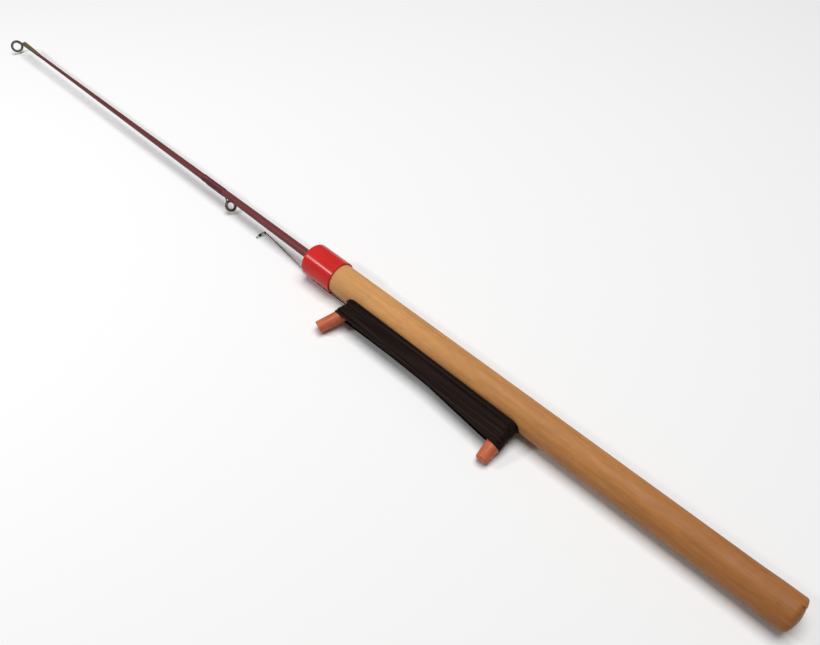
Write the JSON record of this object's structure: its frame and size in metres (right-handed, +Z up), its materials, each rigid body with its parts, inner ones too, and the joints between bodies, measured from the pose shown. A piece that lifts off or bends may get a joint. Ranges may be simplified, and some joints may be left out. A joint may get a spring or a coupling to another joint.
{
  "type": "ice fishing rod",
  "caption": "Hand-line ice fishing rod: wooden dowel handle with two pegs that hold the wound line, red end cap and a short tapered blank with two line guides.",
  "frame": {"origin": "on the table under the middle of the rod, measured without the line and what is on it", "axes": "+X along the rod from the butt to the tip, +Y to the side that the pegs point to, +Z up from the table that the rod lies on"},
  "size_m": [0.9065, 0.0598, 0.0284],
  "materials": {
    "handle_wood": "thin worn varnish",
    "peg_wood": "sealed, slightly glossy",
    "blank_glass_fibre": "satin, pigmented resin",
    "cap_plastic": "glossy moulded",
    "guide_wire": "dark, worn coating",
    "guide_ring": "polished dark",
    "tip_thread": "varnished thread",
    "middle_thread": "varnished thread",
    "line_braid": "dark braid, slight sheen",
    "swivel_metal": "blackened"
  },
  "bodies": {
    "root": {"handle": "handle_wood", "end_cap": "cap_plastic", "blank": "blank_glass_fibre", "front_peg": "peg_wood", "rear_peg": "peg_wood", "tip_guide": "guide_wire", "tip_guide_ring": "guide_ring", "tip_thread_wrap": "tip_thread", "middle_guide": "guide_wire", "middle_guide_ring": "guide_ring", "middle_thread_wrap": "middle_thread", "wound_line": "line_braid", "anchor_knot": "line_braid", "line_lead": "line_braid", "line_end_knot": "line_braid", "swivel_line_eye": "swivel_metal"},
    "swivel_barrel": {"swivel_barrel": "swivel_metal"},
    "swivel_free_eye": {"swivel_free_eye": "swivel_metal"}
  },
  "joints": [
    {"name": "swivel_barrel_spin", "type": "hinge", "parent": "root", "child": "swivel_barrel", "pos_m": [0.04327, -0.01036, 0.0013], "axis": [-0.0523, 0.9986, 0], "continuous": true},
    {"name": "swivel_free_eye_spin", "type": "hinge", "parent": "swivel_barrel", "child": "swivel_free_eye", "pos_m": [0.04309, -0.00696, 0.0013], "axis": [-0.0523, 0.9986, 0], "continuous": true}
  ]
}
